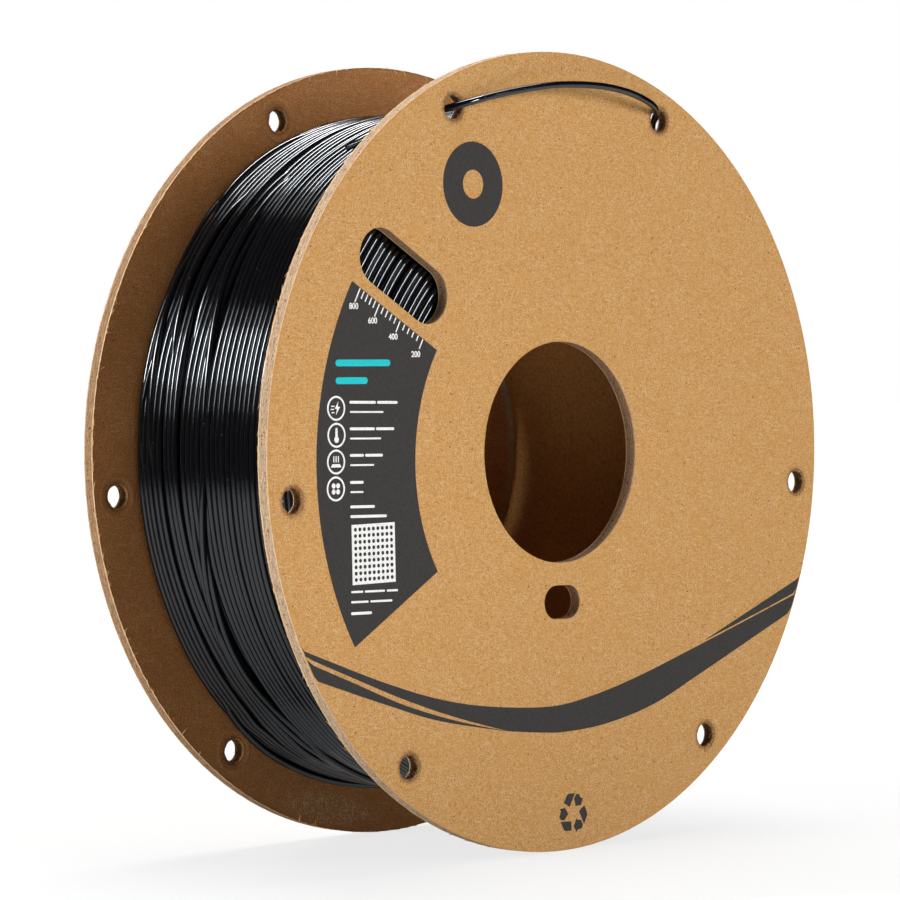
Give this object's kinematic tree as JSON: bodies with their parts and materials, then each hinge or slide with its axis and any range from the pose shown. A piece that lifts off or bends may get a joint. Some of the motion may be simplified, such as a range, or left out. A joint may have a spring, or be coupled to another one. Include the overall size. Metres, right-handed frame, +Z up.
{
  "type": "filament spool",
  "caption": "Full cardboard spool of black printing filament, with two laminated flanges, a paper tube, rim holes, a gauge window and a parked loose end.",
  "frame": {"origin": "on the spindle bore's axis, halfway between the two outer faces", "axes": "+Z up with the spool standing on its rims, +Y along the spool's axis to the unmarked rear flange, so the marked flange faces -Y"},
  "size_m": [0.2, 0.0723, 0.2],
  "materials": {
    "kraft_liner": "matt brown kraft paper with short fibres, printed dark grey on the front",
    "grey_board": "die-cut edge of recycled grey board, rough and fibrous",
    "tube_paper": "spiral-wound brown paper tube",
    "glue": "dried glue bead",
    "filament": "glossy black extruded plastic strand"
  },
  "bodies": {
    "root": {"front_outer_liner": "kraft_liner", "front_board": "grey_board", "front_inner_liner": "kraft_liner", "rear_outer_liner": "kraft_liner", "rear_board": "grey_board", "rear_inner_liner": "kraft_liner", "core_inner_ply": "tube_paper", "core_body_plies": "tube_paper", "core_outer_ply": "tube_paper", "front_glue_bead": "glue", "rear_glue_bead": "glue", "filament_start": "filament", "filament_pack": "filament", "filament_top_layer": "filament", "filament_tail": "filament"}
  },
  "joints": []
}
